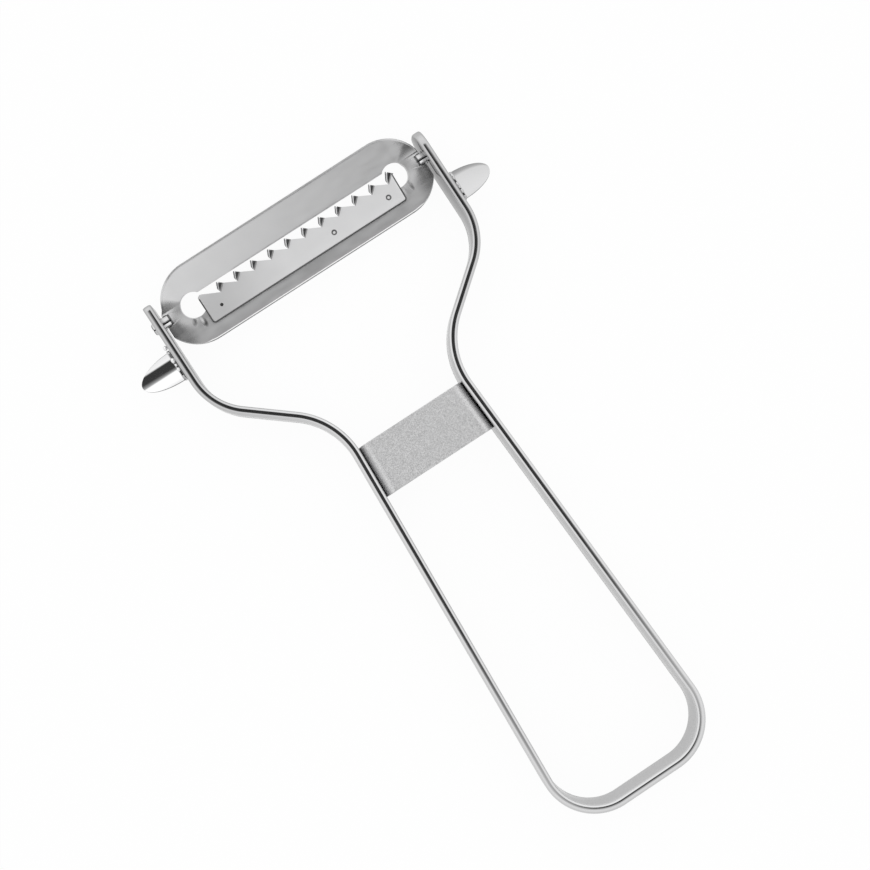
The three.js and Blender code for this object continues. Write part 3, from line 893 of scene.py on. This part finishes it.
def bump(tree, shader, height, strength, distance):
    """Raises the shader's surface by a height."""
    node = tree.nodes.new("ShaderNodeBump")
    node.inputs["Strength"].default_value = strength
    node.inputs["Distance"].default_value = distance
    tree.links.new(height, node.inputs["Height"])
    tree.links.new(node.outputs["Normal"], shader.inputs["Normal"])


def smoother_ends(tree, roughness, start, end, share):
    """Roughness that falls to a share of itself between two distances from the middle."""
    away = maths(tree, "ABSOLUTE", coordinate(tree, "X"))
    return maths(tree, "MULTIPLY", ranged(tree, away, 1, share, start * MM, end * MM), roughness)


def streaked(tree, roughness, streaks):
    """Roughness that falls to a share of itself in short streaks that the press rubbed smooth."""
    for x, y, across, along, turn in streaks:
        place = tree.nodes.new("ShaderNodeTexCoord").outputs["Object"]
        middle = (x * MM, (pivot.y + y) * MM, 0)
        away = patch_distance(tree, place, middle, (across * MM, along * MM, ENDLESS), turn)
        roughness = maths(tree, "MULTIPLY", ranged(tree, away, STREAK_SHARE, 1, STREAK_CORE, 1), roughness)
    return roughness


def shaded(tree, colour, level):
    """Colour multiplied by a level."""
    product = tree.nodes.new("ShaderNodeVectorMath")
    product.operation = "SCALE"
    tree.links.new(colour, product.inputs[0])
    tree.links.new(level, product.inputs["Scale"])
    return product.outputs["Vector"]


def drift(tree, colour, axis, start, end, share):
    """Colour that falls to a share of itself at the start of a stretch along an axis, as painted shade."""
    return shaded(tree, colour, ranged(tree, coordinate(tree, axis), share, 1, start * MM, end * MM))


# Steel: its colour drifts between two tints, and its roughness varies more coarsely than its grain
TINTS = ((0.96, 0.96, 0.965), (1.03, 1.03, 1.035))
TINT_SCALE = 260
EDGE_TINT = (0.7, 0.7, 0.7, 1)
ROUGHNESS_SCALE = 0.35


def steel(name, colour, rough, grain, stretch=(1, 1, 1), strength=0.1, depth=2e-6,
          ends=None, fade=None, mottle=0, streaks=()):
    """Bare steel: a grey that drifts a little, roughness that varies, and a fine surface grain."""
    material, tree, shader = new_material(name)
    shader.inputs["Metallic"].default_value = 1
    shader.inputs["Specular Tint"].default_value = EDGE_TINT
    mix = tree.nodes.new("ShaderNodeMix")
    mix.data_type = "RGBA"
    for socket, levels in zip(("A", "B"), TINTS):
        mix.inputs[socket].default_value = (*(colour * level for level in levels), 1)
    tree.links.new(noise(tree, TINT_SCALE, 4), mix.inputs["Factor"])
    tint = mix.outputs["Result"]
    if mottle:
        tint = shaded(tree, tint, ranged(tree, noise(tree, grain, 3, stretch), 1 - mottle, 1 + mottle))
    # Painted shade: the colour darkens along one of the object's own axes
    if fade:
        tint = drift(tree, tint, *fade)
    tree.links.new(tint, shader.inputs["Base Color"])
    roughness = ranged(tree, noise(tree, grain * ROUGHNESS_SCALE, 4, stretch), *rough)
    if ends:
        roughness = smoother_ends(tree, roughness, *ends)
    tree.links.new(streaked(tree, roughness, streaks), shader.inputs["Roughness"])
    bump(tree, shader, noise(tree, grain, 3, stretch), strength, depth)
    return material


def polished_steel():
    """Outer faces and edges of the band, and the scoops' feet, with painted shade that darkens them towards
    the arms.
    """
    return steel("polished_steel", colour=0.68, rough=(0.07, 0.11), grain=1500, fade=("Y", 50, 25, 0.76))


def polished_inside_steel():
    """Inner face of the band, with a stronger painted shade towards the arms."""
    return steel("polished_steel_inside", colour=0.68, rough=(0.07, 0.11), grain=1500,
                 fade=("Y", 58, 25, 0.42))


def blasted_steel():
    """Grainy crossbar, smoother at its bends."""
    return steel("blasted_steel", colour=0.62, rough=(0.44, 0.52), grain=4200, strength=1, depth=4e-5,
                 ends=(9.8, 11.2, 0.7), mottle=0.2)


def satin_steel():
    """Brushed head plate, smoother at its formed ends and in the press streaks."""
    return steel("satin_steel", colour=0.64, rough=(0.30, 0.36), grain=2500, stretch=(0.25, 1, 1),
                 strength=0.2, depth=4e-6, ends=(26.5, 30.5, 0.6), streaks=PRESS_STREAKS)


def painted_highlight_steel():
    """Painted highlight on the carrier's rolled rim and on one side of the trunnions."""
    return steel("painted_highlight_steel", colour=0.96, rough=(0.16, 0.22), grain=2000)


def fine_satin_steel():
    """Flat of the blade, with painted shade that darkens its left end."""
    return steel("fine_satin_steel", colour=0.76, rough=(0.50, 0.56), grain=2800, stretch=(0.2, 1, 1),
                 strength=0.15, depth=3e-6, fade=("X", -20, -4, 0.76))


def painted_shade_steel():
    """Painted shade on the blade's edges, the fins' faces, the weld marks and the trunnions' roots, seams
    and tips.
    """
    return steel("painted_shade_steel", colour=0.13, rough=(0.25, 0.35), grain=2500)


def painted_half_shade_steel():
    """Paler painted shade on the fins' bends, the carrier's edge and the scoops' side edges."""
    return steel("painted_half_shade_steel", colour=0.3, rough=(0.35, 0.45), grain=2500)


def painted_edge_highlight_steel():
    """Painted highlight on the fins' cut edges."""
    return steel("painted_edge_highlight_steel", colour=0.95, rough=(0.3, 0.4), grain=2500)


def mirror_steel():
    """Mirror finish of the scoops, with painted shade that darkens the right one."""
    return steel("mirror_steel", colour=0.9, rough=(0.04, 0.07), grain=900, fade=("X", 35, -35, 0.67))


# Pieces
def dress(obj, body, node, slot, *materials):
    """Gives a finished piece its materials and its body, and hides the part of the frame that it stands
    for; the slot is not used.
    """
    for i, material in enumerate(materials):
        if i < len(obj.data.materials):
            obj.data.materials[i] = material
        else:
            obj.data.materials.append(material)
    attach(obj, body)
    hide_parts(node)


polished = polished_steel()
polished_inside = polished_inside_steel()
blasted = blasted_steel()
satin = satin_steel()
# Painted highlight
painted_highlight = painted_highlight_steel()
fine_satin = fine_satin_steel()
# Painted shade
painted_shade = painted_shade_steel()
# A paler painted shade
painted_half_shade = painted_half_shade_steel()
# Painted highlight on the fins' cut edges
cut = painted_edge_highlight_steel()
mirror = mirror_steel()

dress(make_band(), "frame", "handle_band", "polished_band", polished, polished_inside)
dress(make_crossbar(), "frame", "crossbar", "blasted_sheet", blasted)
dress(make_holder(), "head", "blade_holder", "satin_sheet", satin, painted_highlight, painted_shade, painted_half_shade)
dress(make_blade(), "head", "julienne_blade", "blade_steel", fine_satin, painted_shade, painted_half_shade, cut)
for side, node, beads, form in ((-1, "left_eye_remover", LEFT_BEADS, LEFT_SCOOP),
                                (1, "right_eye_remover", RIGHT_BEADS, RIGHT_SCOOP)):
    scoop = make_scoop(side, node, **form)
    join(scoop, make_foot(side, node))
    for bead in beads:
        join(scoop, make_bead(side, node, *bead))
    dress(scoop, "frame", node, "mirror_sheet", mirror, painted_half_shade, polished)


# Studio: floor sizes in metres, and the world by directions, with one dark patch overhead
FLOOR_HALF = 15.0
FLOOR_DROP = 2e-5
FLOOR_COLOUR = (0.9, 0.9, 0.9, 1)
FLOOR_GLOW = 0.95
MIRRORED_GLOW = 0.7
DARK_PLACE = (sin(radians(3.2)), sin(radians(3.3)), 0)
DARK_SIZE = (sin(radians(12)), sin(radians(13.5)), ENDLESS)
DARK_LEVEL = 0.04
DARK_RIM = (0.7, 1.35)
LOW_LEVEL = 0.85
LOW_RANGE = (0.1, 0.5)
LEAN = (0.05, 0.2, 0)
LEAN_LEVELS = (0.75, 1.35)
LEAN_RANGE = (-0.3, 0.3)

# Camera: place in millimetres, and its own right and up
CAMERA_LENS = 71.65
CAMERA_SENSOR = 36
CAMERA_PLACE = (-19.162, 7.182, 355.925)
CAMERA_RIGHT = (0.835581, -0.547735, 0.042406)
CAMERA_UP = (0.546003, 0.836521, 0.046214)


def make_floor():
    """Pale floor that the camera and mirrors see almost white, and that keeps the object's shadow."""
    corners = [(-FLOOR_HALF, -FLOOR_HALF), (FLOOR_HALF, -FLOOR_HALF), (FLOOR_HALF, FLOOR_HALF),
               (-FLOOR_HALF, FLOOR_HALF)]
    mesh = bpy.data.meshes.new("floor")
    mesh.from_pydata([(x, y, -FLOOR_DROP) for x, y in corners], [], [(0, 1, 2, 3)])
    floor = bpy.data.objects.new("floor", mesh)
    bpy.context.scene.collection.objects.link(floor)
    floor.data.materials.append(floor_white())


def floor_white():
    """White paint that glows for the camera's rays and, less, for mirrored ones."""
    material = bpy.data.materials.new("floor_white")
    material.use_nodes = True
    tree = material.node_tree
    tree.nodes.clear()
    out = tree.nodes.new("ShaderNodeOutputMaterial")
    diffuse = tree.nodes.new("ShaderNodeBsdfDiffuse")
    diffuse.inputs["Color"].default_value = FLOOR_COLOUR
    glow = tree.nodes.new("ShaderNodeEmission")
    path = tree.nodes.new("ShaderNodeLightPath")
    mirrored = maths(tree, "MAXIMUM", path.outputs["Is Glossy Ray"], path.outputs["Is Transmission Ray"])
    direct_glow = maths(tree, "MULTIPLY", path.outputs["Is Camera Ray"], FLOOR_GLOW)
    mirrored_glow = maths(tree, "MULTIPLY", mirrored, MIRRORED_GLOW)
    mix = tree.nodes.new("ShaderNodeMixShader")
    tree.links.new(maths(tree, "MAXIMUM", direct_glow, mirrored_glow), mix.inputs["Fac"])
    tree.links.new(diffuse.outputs[0], mix.inputs[1])
    tree.links.new(glow.outputs[0], mix.inputs[2])
    tree.links.new(mix.outputs[0], out.inputs["Surface"])
    return material


def make_world():
    """White studio, dimmer low down and on one side, and dark in a patch overhead."""
    world = bpy.data.worlds.new("studio")
    bpy.context.scene.world = world
    world.use_nodes = True
    tree = world.node_tree
    background = tree.nodes["Background"]
    background.inputs["Color"].default_value = (1, 1, 1, 1)
    way = tree.nodes.new("ShaderNodeTexCoord").outputs["Generated"]
    split = tree.nodes.new("ShaderNodeSeparateXYZ")
    tree.links.new(way, split.inputs["Vector"])
    lean = tree.nodes.new("ShaderNodeVectorMath")
    lean.operation = "DOT_PRODUCT"
    lean.inputs[1].default_value = LEAN
    tree.links.new(way, lean.inputs[0])
    dark = ranged(tree, patch_distance(tree, way, DARK_PLACE, DARK_SIZE), DARK_LEVEL, 1, *DARK_RIM)
    low = ranged(tree, split.outputs["Z"], LOW_LEVEL, 1, *LOW_RANGE)
    side = ranged(tree, lean.outputs["Value"], *LEAN_LEVELS, *LEAN_RANGE)
    level = maths(tree, "MULTIPLY", maths(tree, "MULTIPLY", dark, low), side)
    tree.links.new(level, background.inputs["Strength"])


def make_camera():
    """Camera at the photograph's viewing angle."""
    data = bpy.data.cameras.new("camera")
    data.lens = CAMERA_LENS
    data.sensor_width = CAMERA_SENSOR
    camera = bpy.data.objects.new("camera", data)
    bpy.context.scene.collection.objects.link(camera)
    right = Vector(CAMERA_RIGHT)
    up = Vector(CAMERA_UP)
    turn = Matrix((right, up, right.cross(up))).transposed().to_4x4()
    camera.matrix_world = Matrix.Translation(Vector(CAMERA_PLACE) * MM) @ turn
    bpy.context.scene.camera = camera


make_floor()
make_world()
make_camera()
bpy.context.scene.view_settings.view_transform = "Standard"
